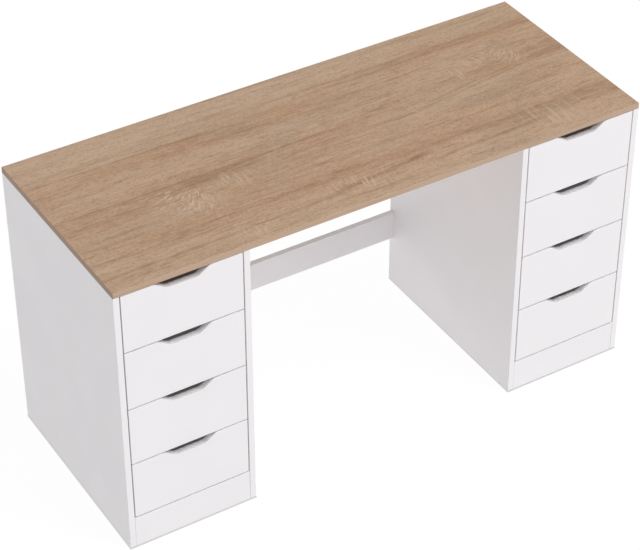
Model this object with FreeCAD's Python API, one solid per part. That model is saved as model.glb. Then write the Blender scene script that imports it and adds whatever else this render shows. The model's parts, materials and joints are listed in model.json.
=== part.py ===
"""Office desk: a worktop on two drawer pedestals, joined low at the back by a stretcher.

Frame, in millimetres: +X along the desk to the right, +Y to the back, +Z up.
The origin lies on the floor, under the middle of the worktop.
"""
import FreeCAD, Part
import math
import os
from FreeCAD import Vector

# Whole desk
desk_length = 1400.0
desk_depth = 550.0
desk_height = 750.0
pedestal_width = 335.0

# Boards
top_thickness = 15.0
band_thickness = 1.0
side_thickness = 15.0
plinth_thickness = 15.0
plinth_top_height = 90.0
floor_thickness = 15.0
back_thickness = 3.0
back_inset = 20.0
back_groove = 6.0
stretcher_thickness = 15.0
stretcher_height = 80.0
stretcher_low = 147.0
stretcher_inset = 4.0

# Floor glides, nailed up into the lower edges of the pedestal sides
glide_height = 3.0
glide_diameter = 13.0
glide_round = 1.0
glide_inset = 40.0
glide_pin_diameter = 3.0
glide_pin_length = 15.0

# Drawer fronts, with a finger scoop in the top edge
drawer_count = 4
front_thickness = 15.0
front_gap = 3.0
front_side_gap = 3.0
worktop_gap = 1.0
top_front_trim = 4.0
scoop_width = 137.0
scoop_depth = 20.0
scoop_round = 20.0
scoop_slope_degrees = 33.0

# Drawer boxes
wall_thickness = 12.0
box_lift = 12.0
box_headroom = 33.0
box_back_room = 62.0
bottom_thickness = 3.0
bottom_lift = 10.0
bottom_groove = 6.0

# Telescopic slides: a cabinet rail, a middle rail inside it and a drawer rail inside that
rail_space = 12.7
rail_height = 45.0
rail_depth = 9.0
rail_lip = 4.0
rail_sheet = 1.2
rail_play = 0.4
rail_setback = 2.0
rail_lift = 45.0
rail_stop_height = 16.0
rail_screw_inset = 40.0

# Cam locks and their bolts
cam_diameter = 15.0
wall_cam_diameter = 12.0
cam_distance = 24.0
cam_skin = 2.4
cam_recess = 0.3
cam_cross_width = 1.6
cam_cross_length = 8.0
cam_cross_depth = 2.0
bolt_diameter = 6.0
bolt_tip = 2.0
bolt_thread_diameter = 5.0
bolt_skin = 4.0

# Dowels
dowel_diameter = 8.0
wall_dowel_diameter = 6.0
dowel_grip = 20.0
dowel_skin = 5.0

# Countersunk screws
rail_screw_diameter = 3.2
rail_screw_head = 6.4
wall_screw_diameter = 3.5
wall_screw_head = 7.0
wall_screw_length = 35.0
bottom_screw_length = 15.0
screw_skin = 3.0

# Places of the fasteners along the boards, from the nearest edge
side_cam_inset = 60.0
side_dowel_inset = 110.0
floor_cam_inset = 60.0
floor_dowel_inset = 110.0
plinth_cam_height = 32.0
plinth_dowel_height = 58.0
plinth_dowel_spacing = 160.0
stretcher_dowel_spacing = 50.0
wall_cam_inset = 25.0
wall_dowel_lift = 28.0
back_screw_inset = 12.0
bottom_screw_spacing = 128.0

# Clearances, and how far each cut runs past the face where it starts
bore_clearance = 0.1
slot_clearance = 0.2
overrun = 1.0

# Worked out from the sizes above
end_x = desk_length / 2
front_y = -desk_depth / 2
back_y = desk_depth / 2
underside = desk_height - top_thickness
floor_low = plinth_top_height - floor_thickness
back_panel_y = back_y - back_inset - back_thickness
box_front_y = front_y + front_thickness
box_back_y = back_panel_y - box_back_room
kneehole_x = end_x - pedestal_width
front_zone = underside - plinth_top_height - drawer_count * front_gap - worktop_gap
front_height = (front_zone + top_front_trim) / drawer_count
box_height = front_height - top_front_trim - box_lift - box_headroom
drawer_opening = pedestal_width - 2 * side_thickness
box_width = drawer_opening - 2 * rail_space
inner_width = box_width - 2 * wall_thickness

LEFT = Vector(-1, 0, 0)
RIGHT = Vector(1, 0, 0)
BACK = Vector(0, 1, 0)
UP = Vector(0, 0, 1)
DOWN = Vector(0, 0, -1)

boards = {}
fittings = {}
cutters = {}


def add(node, solid):
    """Put a board or rail into a node, before its holes and grooves are cut."""
    boards.setdefault(node, []).append(solid)


def fit(node, solid):
    """Put a finished fastener into a node."""
    fittings.setdefault(node, []).append(solid)


def bore(node, *tools):
    """Note the cuts that the boards of a node still get."""
    cutters.setdefault(node, []).extend(tools)


def block(x_pair, y_pair, z_pair):
    """Box between two places on each axis, given in any order."""
    low = Vector(min(x_pair), min(y_pair), min(z_pair))
    high = Vector(max(x_pair), max(y_pair), max(z_pair))
    size = high - low
    return Part.makeBox(size.x, size.y, size.z, low)


def rod(start, along, diameter, length):
    """Round bar from a point."""
    return Part.makeCylinder(diameter / 2, length, start, along)


def hole(mouth, into, diameter, depth):
    """Cutter for a round hole with bore clearance, open at its mouth."""
    return rod(mouth - into * overrun, into, diameter + 2 * bore_clearance, depth + bore_clearance + overrun)


def rounded_face(corners):
    """Flat face inside a closed run of (point, radius) corners, each corner an arc of its radius."""
    bends = []
    for index, (point, radius) in enumerate(corners):
        before = (corners[index - 1][0] - point).normalize()
        after = (corners[(index + 1) % len(corners)][0] - point).normalize()
        half_angle = before.getAngle(after) / 2
        tangent = radius / math.tan(half_angle)
        bisector = (before + after).normalize()
        middle = point + bisector * (radius / math.sin(half_angle) - radius)
        bends.append((point + before * tangent, middle, point + after * tangent, radius))
    edges = []
    for index, (start, middle, end, radius) in enumerate(bends):
        if radius > 0:
            edges.append(Part.Arc(start, middle, end).toShape())
        edges.append(Part.LineSegment(end, bends[(index + 1) % len(bends)][0]).toShape())
    return Part.Face(Part.Wire(edges))


def cross_recess(centre, into):
    """Cutter for a screwdriver cross sunk into a cam's face."""
    bar = Part.makeBox(cam_cross_length, cam_cross_width, cam_cross_depth + overrun)
    bar.translate(Vector(-cam_cross_length / 2, -cam_cross_width / 2, -overrun))
    other = bar.copy()
    other.rotate(Vector(0, 0, 0), UP, 90)
    cross = bar.fuse(other)
    cross.Placement = FreeCAD.Placement(centre, FreeCAD.Rotation(UP, into))
    return cross


def cam_joint(edge, face, cam_node, bolt_node, seat, into, mouth, diameter):
    """Cam lock and bolt that pull the edge of one board against the face of another.

    edge and face are (node, thickness) of the two boards. seat is the point where the bolt crosses
    the joint, into points from the face into the edge's board, and mouth out of the cam's hole.
    """
    edge_node, edge_thickness = edge
    face_node, face_thickness = face
    centre = seat + into * cam_distance
    rim = centre + mouth * (edge_thickness / 2)
    depth = edge_thickness - cam_skin
    grip = face_thickness - bolt_skin
    reach = cam_distance + bolt_tip
    bolt_hole = hole(seat, into, bolt_diameter, reach)
    bore(edge_node, hole(rim, -mouth, diameter, depth), bolt_hole)
    bore(face_node, hole(seat, -into, bolt_thread_diameter, grip))
    cam = rod(rim - mouth * cam_recess, -mouth, diameter, depth - cam_recess)
    fit(cam_node, cam.cut([bolt_hole, cross_recess(rim - mouth * cam_recess, -mouth)]).Solids[0])
    thread = rod(seat - into * grip, into, bolt_thread_diameter, grip)
    fit(bolt_node, rod(seat, into, bolt_diameter, reach).fuse(thread).Solids[0])


def dowel_joint(edge, face, dowel_node, seat, into, diameter):
    """Dowel across a joint of an edge and a face, described as for the cam lock."""
    face_node, face_thickness = face
    grip = face_thickness - dowel_skin
    bore(edge[0], hole(seat, into, diameter, dowel_grip))
    bore(face_node, hole(seat, -into, diameter, grip))
    fit(dowel_node, rod(seat - into * grip, into, diameter, grip + dowel_grip))


def screw(node, held_nodes, head, into, diameter, head_diameter, length):
    """Countersunk screw with its head flush at a point, and its hole in the pieces that it holds."""
    sink = (head_diameter - diameter) / 2
    cone = Part.makeCone(head_diameter / 2, diameter / 2, sink, head, into)
    shank = rod(head + into * sink, into, diameter, length - sink)
    fit(node, cone.fuse(shank).Solids[0])
    wide = head_diameter / 2 + bore_clearance
    countersink = Part.makeCone(wide, diameter / 2 + bore_clearance, sink, head, into)
    for held in held_nodes:
        bore(held, countersink, hole(head, into, diameter, length))


def worktop():
    """Oak board with a band on each edge."""
    core_x = end_x - band_thickness
    core_y = back_y - band_thickness
    height = (underside, desk_height)
    add("worktop", block((-core_x, core_x), (-core_y, core_y), height))
    for edge_y, core_edge in ((front_y, -core_y), (back_y, core_y)):
        add("worktop_edge_banding", block((-end_x, end_x), (edge_y, core_edge), height))
    for edge_x, core_edge in ((-end_x, -core_x), (end_x, core_x)):
        add("worktop_edge_banding", block((edge_x, core_edge), (-core_y, core_y), height))


def glide(panel_node, x, y):
    """Round floor glide with its nail."""
    disc = rod(Vector(x, y, 0), UP, glide_diameter, glide_height)
    rim = [edge for edge in disc.Edges if edge.BoundBox.ZMax < glide_height / 2]
    disc = disc.makeFillet(glide_round, rim)
    seat = Vector(x, y, glide_height)
    nail = rod(seat, UP, glide_pin_diameter, glide_pin_length)
    fit("floor_glides", disc.fuse(nail).Solids[0])
    bore(panel_node, hole(seat, UP, glide_pin_diameter, glide_pin_length))


def side_panel(node, mid_x, inward):
    """Pedestal side, cammed up to the worktop, grooved for the back panel and standing on two glides."""
    half = side_thickness / 2
    face_x = mid_x + inward.x * half
    add(node, block((mid_x - half, mid_x + half), (front_y, back_y), (glide_height, underside)))
    groove_x = (face_x - inward.x * back_groove, face_x + inward.x * overrun)
    groove_y = (back_panel_y - slot_clearance, back_panel_y + back_thickness + slot_clearance)
    bore(node, block(groove_x, groove_y, (floor_low - slot_clearance, underside + overrun)))
    edge = (node, side_thickness)
    top = ("worktop", top_thickness)
    for end in (-1, 1):
        cam_seat = Vector(mid_x, end * (back_y - side_cam_inset), underside)
        cam_joint(edge, top, "cam_locks", "cam_bolts", cam_seat, DOWN, inward, cam_diameter)
        dowel_seat = Vector(mid_x, end * (back_y - side_dowel_inset), underside)
        dowel_joint(edge, top, "dowels", dowel_seat, DOWN, dowel_diameter)
        glide(node, mid_x, end * (back_y - glide_inset))


def bottom_panel(node, plinth_node, mid_x, sides):
    """Pedestal bottom, held between the two sides and behind the plinth."""
    half = drawer_opening / 2
    y_pair = (front_y + plinth_thickness, back_panel_y - slot_clearance)
    add(node, block((mid_x - half, mid_x + half), y_pair, (floor_low, plinth_top_height)))
    edge = (node, floor_thickness)
    mid_z = (floor_low + plinth_top_height) / 2
    for side_node, inward in sides:
        face = (side_node, side_thickness)
        face_x = mid_x - inward.x * half
        for edge_y, way in ((y_pair[0], 1), (y_pair[1], -1)):
            cam_seat = Vector(face_x, edge_y + way * floor_cam_inset, mid_z)
            cam_joint(edge, face, "cam_locks", "cam_bolts", cam_seat, inward, DOWN, cam_diameter)
            dowel_seat = Vector(face_x, edge_y + way * floor_dowel_inset, mid_z)
            dowel_joint(edge, face, "dowels", dowel_seat, inward, dowel_diameter)
        plinth_seat = Vector(mid_x + inward.x * plinth_dowel_spacing / 2, y_pair[0], mid_z)
        dowel_joint(edge, (plinth_node, plinth_thickness), "dowels", plinth_seat, BACK, dowel_diameter)


def plinth(node, mid_x, sides):
    """Board that closes the pedestal under the lowest drawer."""
    half = drawer_opening / 2
    y_pair = (front_y, front_y + plinth_thickness)
    add(node, block((mid_x - half, mid_x + half), y_pair, (glide_height, plinth_top_height)))
    edge = (node, plinth_thickness)
    for side_node, inward in sides:
        face = (side_node, side_thickness)
        cam_seat = Vector(mid_x - inward.x * half, sum(y_pair) / 2, plinth_cam_height)
        cam_joint(edge, face, "cam_locks", "cam_bolts", cam_seat, inward, BACK, cam_diameter)
        dowel_seat = Vector(mid_x - inward.x * half, sum(y_pair) / 2, plinth_dowel_height)
        dowel_joint(edge, face, "dowels", dowel_seat, inward, dowel_diameter)


def back_panel(node, mid_x):
    """Thin panel that stands in the grooves of the two sides."""
    half = drawer_opening / 2 + back_groove - slot_clearance
    y_pair = (back_panel_y, back_panel_y + back_thickness)
    add(node, block((mid_x - half, mid_x + half), y_pair, (floor_low, underside - slot_clearance)))


def stretcher():
    """Board between the two inner sides, low at the back of the kneehole."""
    y_pair = (back_y - stretcher_inset - stretcher_thickness, back_y - stretcher_inset)
    z_pair = (stretcher_low, stretcher_low + stretcher_height)
    add("rear_stretcher", block((-kneehole_x, kneehole_x), y_pair, z_pair))
    edge = ("rear_stretcher", stretcher_thickness)
    middle = Vector(0, sum(y_pair) / 2, sum(z_pair) / 2)
    for side_node, into in (("left_inner_side", RIGHT), ("right_inner_side", LEFT)):
        face = (side_node, side_thickness)
        cam_seat = middle - into * kneehole_x
        cam_joint(edge, face, "cam_locks", "cam_bolts", cam_seat, into, BACK, cam_diameter)
        for way in (UP, DOWN):
            dowel_seat = cam_seat + way * (stretcher_dowel_spacing / 2)
            dowel_joint(edge, face, "dowels", dowel_seat, into, dowel_diameter)


def drawer_front(node, mid_x, low_z, height):
    """Front board with the finger scoop cut through its top edge."""
    half = drawer_opening / 2 - front_side_gap
    slope_run = scoop_depth / math.tan(math.radians(scoop_slope_degrees))
    top_z = low_z + height
    scoop_z = top_z - scoop_depth
    floor_half = scoop_width / 2 - slope_run
    outline = [
        (mid_x - half, low_z, 0),
        (mid_x + half, low_z, 0),
        (mid_x + half, top_z, 0),
        (mid_x + scoop_width / 2, top_z, scoop_round),
        (mid_x + floor_half, scoop_z, scoop_round),
        (mid_x - floor_half, scoop_z, scoop_round),
        (mid_x - scoop_width / 2, top_z, scoop_round),
        (mid_x - half, top_z, 0),
    ]
    face = rounded_face([(Vector(x, front_y, z), radius) for x, z, radius in outline])
    add(node, face.extrude(BACK * front_thickness))


def drawer_box(drawer, mid_x, low_z):
    """Two walls and a back wall, joined to the front by cams and dowels and to each other by screws."""
    front = (drawer + "_front", front_thickness)
    walls = (drawer + "_box", wall_thickness)
    hardware = drawer + "_fittings"
    box_z = (low_z, low_z + box_height)
    half = box_width / 2
    back_wall_y = box_back_y - wall_thickness
    back_wall_z = (low_z + bottom_lift + bottom_thickness + slot_clearance, box_z[1])
    back_wall_x = (mid_x - inner_width / 2, mid_x + inner_width / 2)
    add(walls[0], block(back_wall_x, (back_wall_y, box_back_y), back_wall_z))
    for inward in (RIGHT, LEFT):
        outer_x = mid_x - inward.x * half
        wall_x = outer_x + inward.x * wall_thickness / 2
        wall_pair = (outer_x, outer_x + inward.x * wall_thickness)
        add(walls[0], block(wall_pair, (box_front_y, box_back_y), box_z))
        cam_seat = Vector(wall_x, box_front_y, box_z[1] - wall_cam_inset)
        cam_joint(walls, front, hardware, hardware, cam_seat, BACK, inward, wall_cam_diameter)
        dowel_seat = Vector(wall_x, box_front_y, low_z + wall_dowel_lift)
        dowel_joint(walls, front, walls[0], dowel_seat, BACK, wall_dowel_diameter)
        for height in (back_wall_z[0] + back_screw_inset, back_wall_z[1] - back_screw_inset):
            head = Vector(outer_x, back_wall_y + wall_thickness / 2, height)
            screw(hardware, walls[:1], head, inward, wall_screw_diameter, wall_screw_head, wall_screw_length)


def drawer_bottom(drawer, mid_x, low_z):
    """Thin board in grooves of the walls and the front, screwed up into the back wall."""
    node = drawer + "_bottom"
    half = inner_width / 2 + bottom_groove
    z_pair = (low_z + bottom_lift, low_z + bottom_lift + bottom_thickness)
    groove_z = (z_pair[0] - slot_clearance, z_pair[1] + slot_clearance)
    inner_half = half - slot_clearance
    edge_y = box_front_y - bottom_groove + slot_clearance
    add(node, block((mid_x - inner_half, mid_x + inner_half), (edge_y, box_back_y), z_pair))
    groove_y = (box_front_y - bottom_groove, box_back_y + overrun)
    groove = block((mid_x - half, mid_x + half), groove_y, groove_z)
    bore(drawer + "_front", groove)
    bore(drawer + "_box", groove)
    held = [node, drawer + "_box"]
    hardware = drawer + "_fittings"
    for way in (-1, 1):
        head = Vector(mid_x + way * bottom_screw_spacing / 2, box_back_y - wall_thickness / 2, z_pair[0])
        screw(hardware, held, head, UP, wall_screw_diameter, wall_screw_head, bottom_screw_length)


def channel(start, depth, height):
    """Section of a rail with two lips, as (distance from the pedestal side, height) points."""
    low = -height / 2
    end = start + depth
    lower = [
        (start, low),
        (end, low),
        (end, low + rail_lip),
        (end - rail_sheet, low + rail_lip),
        (end - rail_sheet, low + rail_sheet),
        (start + rail_sheet, low + rail_sheet),
    ]
    return lower + [(out, -up) for out, up in reversed(lower)]


def top_hat(start, flange_half, neck_half):
    """Section of the drawer rail: a web on the drawer wall and a flange behind each lip."""
    inside = neck_half - rail_sheet
    lower = [
        (start, -inside),
        (start, -flange_half),
        (start + rail_sheet, -flange_half),
        (start + rail_sheet, -neck_half),
        (rail_space, -neck_half),
    ]
    web = rail_space - rail_sheet
    upper = [(out, -up) for out, up in reversed(lower)]
    return lower + upper + [(web, inside), (web, -inside)]


def rail(section, face_x, inward, centre_z, y_pair):
    """Rail of one section, from the inner face of a pedestal side."""
    points = [Vector(face_x + inward.x * out, y_pair[0], centre_z + up) for out, up in section]
    face = Part.Face(Part.makePolygon(points + points[:1]))
    return face.extrude(BACK * (y_pair[1] - y_pair[0]))


def slide(drawer, side_node, face_x, inward, centre_z):
    """One telescopic slide between a pedestal side and a drawer wall."""
    fold = rail_sheet + rail_play
    y_pair = (box_front_y + rail_setback, box_back_y)
    short_pair = (y_pair[0], y_pair[1] - fold)
    middle_depth = rail_depth - 2 * fold
    middle_height = rail_height - 2 * fold
    hat_start = fold + middle_depth - fold - rail_sheet
    lip_half = middle_height / 2 - rail_lip
    cabinet = rail(channel(0, rail_depth, rail_height), face_x, inward, centre_z, y_pair)
    stop_x = (face_x, face_x + inward.x * (rail_depth - rail_sheet))
    stop_z = (centre_z - rail_stop_height / 2, centre_z + rail_stop_height / 2)
    stop = block(stop_x, (y_pair[1] - rail_sheet, y_pair[1]), stop_z)
    add("cabinet_rails", cabinet.fuse(stop).removeSplitter().Solids[0])
    middle = channel(fold, middle_depth, middle_height)
    add(drawer + "_middle_rails", rail(middle, face_x, inward, centre_z, short_pair))
    hat = top_hat(hat_start, middle_height / 2 - fold, lip_half - rail_play)
    add(drawer + "_fittings", rail(hat, face_x, inward, centre_z, short_pair))
    for y in (y_pair[0] + rail_screw_inset, y_pair[1] - rail_screw_inset):
        head = Vector(face_x + inward.x * rail_sheet, y, centre_z)
        held = ["cabinet_rails", side_node]
        length = rail_sheet + side_thickness - screw_skin
        screw("rail_screws", held, head, -inward, rail_screw_diameter, rail_screw_head, length)
        head = Vector(face_x + inward.x * (rail_space - rail_sheet), y, centre_z)
        held = [drawer + "_fittings", drawer + "_box"]
        length = rail_sheet + wall_thickness - screw_skin
        screw(drawer + "_fittings", held, head, inward, rail_screw_diameter, rail_screw_head, length)


def pedestal(name, side):
    """One pedestal with its drawers. side is -1 at the left end of the desk and 1 at the right end."""
    mid_x = side * (end_x - pedestal_width / 2)
    outward = Vector(side, 0, 0)
    sides = [(name + "_outer_side", -outward), (name + "_inner_side", outward)]
    for node, inward in sides:
        side_panel(node, mid_x - inward.x * (pedestal_width - side_thickness) / 2, inward)
    bottom_panel(name + "_bottom_panel", name + "_plinth", mid_x, sides)
    plinth(name + "_plinth", mid_x, sides)
    back_panel(name + "_back_panel", mid_x)
    for number in range(drawer_count):
        drawer = f"{name}_drawer_{number + 1}"
        low_z = plinth_top_height + front_gap + (drawer_count - 1 - number) * (front_height + front_gap)
        height = front_height - top_front_trim if number == 0 else front_height
        drawer_front(drawer + "_front", mid_x, low_z, height)
        drawer_box(drawer, mid_x, low_z + box_lift)
        drawer_bottom(drawer, mid_x, low_z + box_lift)
        for node, inward in sides:
            face_x = mid_x - inward.x * drawer_opening / 2
            slide(drawer, node, face_x, inward, low_z + box_lift + rail_lift)


def export():
    """Cut each node's boards and write its solids to one file."""
    os.makedirs("parts", exist_ok=True)
    for node in sorted(set(boards) | set(fittings)):
        pieces = boards.get(node, [])
        if node in cutters:
            pieces = [piece.cut(cutters[node]).Solids[0] for piece in pieces]
        pieces = pieces + fittings.get(node, [])
        shape = pieces[0] if len(pieces) == 1 else Part.makeCompound(pieces)
        shape.exportStep(f"parts/{node}.step")


worktop()
pedestal("left", -1)
pedestal("right", 1)
stretcher()
export()
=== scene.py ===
"""Office desk with two drawer pedestals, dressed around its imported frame.

Boards, drawer fronts and drawer boxes are modelled here as finished pieces with softened edges.
Rails, screws, cam locks, dowels and glides keep their own solids and get their finishes here.
Lengths are metres in the frame's axes: +X along the desk, +Y to the back, +Z up.
"""
import json
import math
from functools import partial
from typing import NamedTuple

import bmesh
import bpy
from mathutils import Euler, Matrix, Vector

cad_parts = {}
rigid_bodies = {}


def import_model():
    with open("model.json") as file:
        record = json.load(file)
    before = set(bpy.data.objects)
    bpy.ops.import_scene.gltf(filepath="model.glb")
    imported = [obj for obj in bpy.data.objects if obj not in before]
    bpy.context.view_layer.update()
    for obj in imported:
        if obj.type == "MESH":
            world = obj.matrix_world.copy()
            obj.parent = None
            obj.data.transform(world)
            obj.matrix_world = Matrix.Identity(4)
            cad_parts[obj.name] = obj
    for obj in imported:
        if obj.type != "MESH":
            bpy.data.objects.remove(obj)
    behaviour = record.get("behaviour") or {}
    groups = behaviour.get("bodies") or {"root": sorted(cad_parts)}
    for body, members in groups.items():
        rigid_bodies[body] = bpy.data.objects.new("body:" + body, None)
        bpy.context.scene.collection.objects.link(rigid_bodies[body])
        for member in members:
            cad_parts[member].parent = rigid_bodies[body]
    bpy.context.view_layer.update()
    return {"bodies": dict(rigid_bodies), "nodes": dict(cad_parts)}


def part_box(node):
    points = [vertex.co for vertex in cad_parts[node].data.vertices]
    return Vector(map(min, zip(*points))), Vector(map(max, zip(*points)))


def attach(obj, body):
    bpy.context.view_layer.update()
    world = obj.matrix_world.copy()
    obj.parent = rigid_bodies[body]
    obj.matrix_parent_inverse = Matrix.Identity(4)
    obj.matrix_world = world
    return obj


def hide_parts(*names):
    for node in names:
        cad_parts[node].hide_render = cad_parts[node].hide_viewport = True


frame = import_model()

bl_info = {
    "name": "Office Desk",
    "version": (1, 0, 0),
    "blender": (4, 5, 0),
    "location": "View3D > Sidebar > Desk",
    "description": "Finished boards, drawers and metalwork of a desk on two drawer pedestals",
    "category": "Object",
}

CARCASS = "desk"
PEDESTALS = ("left", "right")
DRAWERS = [body for body in frame["bodies"] if body != CARCASS and not body.endswith("_slides")]

# Modelling tolerances
TINY = 0.00002
WELD = 0.00001
OVERRUN = 0.001
ROUND_PLAY = 0.00025
SIZE_DIGITS = 4
SMOOTH_ANGLE = math.radians(40)
FLAT_ANGLE = math.radians(1)
SHARP_ANGLE = math.radians(60)

# Steps of the rounded edges from fine to wide, of the scoops' corners and of the bores
FINE_STEPS = 2
EDGE_STEPS = 3
WIDE_STEPS = 4
SCOOP_STEPS = 8
BORE_STEPS = 48

# Width of the camera's sensor in millimetres
SENSOR_WIDTH = 36.0

# Kinds of property in the groups below
Length = partial(bpy.props.FloatProperty, unit="LENGTH")
Angle = partial(bpy.props.FloatProperty, subtype="ANGLE")
Colour = partial(bpy.props.FloatVectorProperty, subtype="COLOR")


class DeskSizes(bpy.types.PropertyGroup):
    """Sizes of the softened edges, the finger scoops and the joinery."""

    board_round: Length(name="Board edge", description="Rounding of the white boards' edges", default=0.0004)
    joint_round: Length(
        name="Plinth joint", description="Rounding of a plinth's upright edges beside the sides",
        default=0.002
    )
    band_round: Length(name="Band edge", description="Rounding of the worktop's edge band", default=0.0007)
    seam_round: Length(
        name="Seam", description="Fine break where the worktop meets its band", default=0.00015
    )
    sheet_round: Length(
        name="Sheet edge", description="Rounding of the thin hardboard sheets", default=0.0004
    )
    wall_round: Length(
        name="Wall top", description="Rounding along the top of a drawer wall", default=0.0025
    )
    wall_thickness: Length(name="Drawer wall", description="Thickness of a drawer wall", default=0.012)
    scoop_width: Length(
        name="Scoop width", description="Width of the finger scoop at the top edge", default=0.137
    )
    scoop_depth: Length(name="Scoop depth", description="Depth of the finger scoop", default=0.020)
    scoop_radius: Length(
        name="Scoop corners", description="Radius of the scoop's four corners", default=0.020
    )
    scoop_slope: Angle(
        name="Scoop slope", description="Slope of the scoop's sides", default=math.radians(33)
    )
    groove_play: Length(name="Groove play", description="Clearance of a sheet in its groove", default=0.0002)
    bore_play: Length(name="Bore play", description="Clearance of a fastener in its bore", default=0.0001)
    cam_diameter: Length(name="Cam lock", description="Diameter of the carcass's cam locks", default=0.015)
    wall_cam_diameter: Length(
        name="Drawer cam", description="Diameter of the drawers' cam locks", default=0.012
    )
    screw_head: Length(name="Screw head", description="Diameter of the drawers' screw heads", default=0.007)
    screw_sink: Length(name="Screw sink", description="Depth of a screw head's seat", default=0.00175)


class DeskFinishes(bpy.types.PropertyGroup):
    """Base colours of the finishes."""

    oak: Colour(name="Oak", description="Body of the oak decor", default=(0.440, 0.268, 0.155))
    oak_light: Colour(
        name="Light oak", description="Lighter zones of the body", default=(0.516, 0.355, 0.238)
    )
    oak_pale: Colour(name="Pale oak", description="Paler grain", default=(0.518, 0.369, 0.256))
    oak_dark: Colour(name="Dark oak", description="Dark grain and streaks", default=(0.254, 0.132, 0.064))
    oak_grey: Colour(
        name="Grey oak", description="Greyer clouds of the decor", default=(0.402, 0.275, 0.184)
    )
    oak_fleck: Colour(
        name="Oak fleck", description="Saw marks across the grain", default=(0.606, 0.436, 0.309)
    )
    oak_band: Colour(name="Oak band", description="Band along the long edges", default=(0.505, 0.347, 0.240))
    # Band across the ends: painted shade, a darker copy of the long band's tone
    shaded_end_band: Colour(
        name="Oak end band", description="Band across the ends", default=(0.310, 0.182, 0.110)
    )
    white: Colour(name="White board", description="White melamine faces", default=(0.870, 0.848, 0.866))
    foil: Colour(name="White foil", description="Foil of the drawer walls", default=(0.790, 0.780, 0.775))
    hardboard: Colour(
        name="Hardboard", description="Lacquered hardboard sheets", default=(0.800, 0.790, 0.770)
    )
    steel: Colour(name="Zinc steel", description="Rails, screws and bolts", default=(0.560, 0.570, 0.590))
    cam_alloy: Colour(name="Cam alloy", description="Die-cast cam locks", default=(0.500, 0.495, 0.480))
    beech: Colour(name="Beech", description="Dowels", default=(0.560, 0.370, 0.220))
    plastic: Colour(name="Glide plastic", description="Floor glides", default=(0.640, 0.630, 0.600))
    drawer_glow: bpy.props.FloatProperty(
        name="Drawer glow",
        description="Faint light of the drawers' insides, so that the slits aren't black", default=0.018
    )


class DeskStage(bpy.types.PropertyGroup):
    """Camera, floor and light."""

    azimuth: Angle(name="Azimuth", description="Turn of the camera about Z", default=math.radians(-31.41))
    elevation: Angle(name="Elevation", description="Camera above the horizon", default=math.radians(37.63))
    roll: Angle(name="Roll", description="Turn of the camera about its view", default=math.radians(-0.1))
    distance: Length(name="Distance", description="Camera to the point it aims at", default=5.426)
    aim: bpy.props.FloatVectorProperty(
        name="Aim", description="Point in the middle of the view",
        default=(-0.0229, -0.0072, 0.3515), subtype="XYZ_LENGTH"
    )
    lens: bpy.props.FloatProperty(
        name="Lens", description="Focal length on a 36 mm wide sensor", default=125.93, unit="CAMERA"
    )
    floor_width: Length(name="Floor", description="Width of the square floor", default=200.0)
    floor_glow: bpy.props.FloatProperty(
        name="Floor glow", description="Light that the floor gives by itself", default=0.96
    )
    foot_glow: bpy.props.FloatProperty(
        name="Foot glow", description="Share of its glow that the floor keeps under the pedestals",
        default=0.6, subtype="FACTOR"
    )
    foot_fade: Length(
        name="Foot fade", description="Width beside a pedestal over which the glow comes back", default=0.003
    )
    floor_tone: bpy.props.FloatProperty(
        name="Floor tone", description="Share of light that the floor throws back",
        default=0.05, subtype="FACTOR"
    )
    room_light: bpy.props.FloatProperty(
        name="Room light", description="Even light from overhead", default=0.2
    )
    wall_light: bpy.props.FloatProperty(
        name="Wall light", description="Light of the pale walls at the horizon", default=0.95
    )
    wall_rise: Angle(
        name="Wall rise", description="Height above the horizon where the light of the walls has faded",
        default=math.radians(22)
    )
    light_distance: Length(name="Light distance", description="Distance of both soft lights", default=24.0)
    light_width: Length(name="Light width", description="Width of both soft lights", default=10.0)
    light_height: Length(name="Light height", description="Height of both soft lights", default=18.0)
    key_power: bpy.props.FloatProperty(
        name="Key power", description="Power of the soft light at the front", default=4370.0, unit="POWER"
    )
    key_azimuth: Angle(
        name="Key azimuth", description="Turn of the front light about Z", default=math.radians(40)
    )
    key_elevation: Angle(
        name="Key elevation", description="Front light above the horizon", default=math.radians(56)
    )
    back_power: bpy.props.FloatProperty(
        name="Back power", description="Power of the soft light at the back", default=1400.0, unit="POWER"
    )
    back_azimuth: Angle(
        name="Back azimuth", description="Turn of the back light about Z", default=math.radians(180)
    )
    back_elevation: Angle(
        name="Back elevation", description="Back light above the horizon", default=math.radians(58)
    )


class Streak(NamedTuple):
    """Streak of the oak decor along X: its ends, place across, rise from end to end, width and strength."""

    start: float
    end: float
    place: float
    rise: float
    width: float
    strength: float


class Fleck(NamedTuple):
    """Patch of pale saw marks on the oak decor: its middle, half sizes, slant and number of marks."""

    x: float
    y: float
    half_length: float
    half_width: float
    slant: float
    marks: float
    strength: float


class Fan(NamedTuple):
    """Fan of pale rays on the oak decor: its hub, reach, direction, half angle and number of rays."""

    x: float
    y: float
    reach: float
    turn: float
    half_angle: float
    rays: float
    strength: float


class Noise(NamedTuple):
    """Soft noise of a finish: cells per metre along each axis, shift, detail, roughness and distortion."""

    scale: tuple
    shift: tuple = (0.0, 0.0, 0.0)
    detail: float = 2.0
    roughness: float = 0.5
    distortion: float = 0.0


class Coat(NamedTuple):
    """Plain finish: a tone with fine marks, which also give its relief, and mostly with soft clouds."""

    tone: str
    marks: Noise
    mark_range: tuple
    mark_shade: float
    roughness: tuple
    mark_strength: float = 1.0
    clouds: Noise = None
    cloud_shade: float = 1.0
    gloss_by_clouds: bool = False
    relief: float = 0.0
    metallic: float = 0.0
    glows: bool = False


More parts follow.
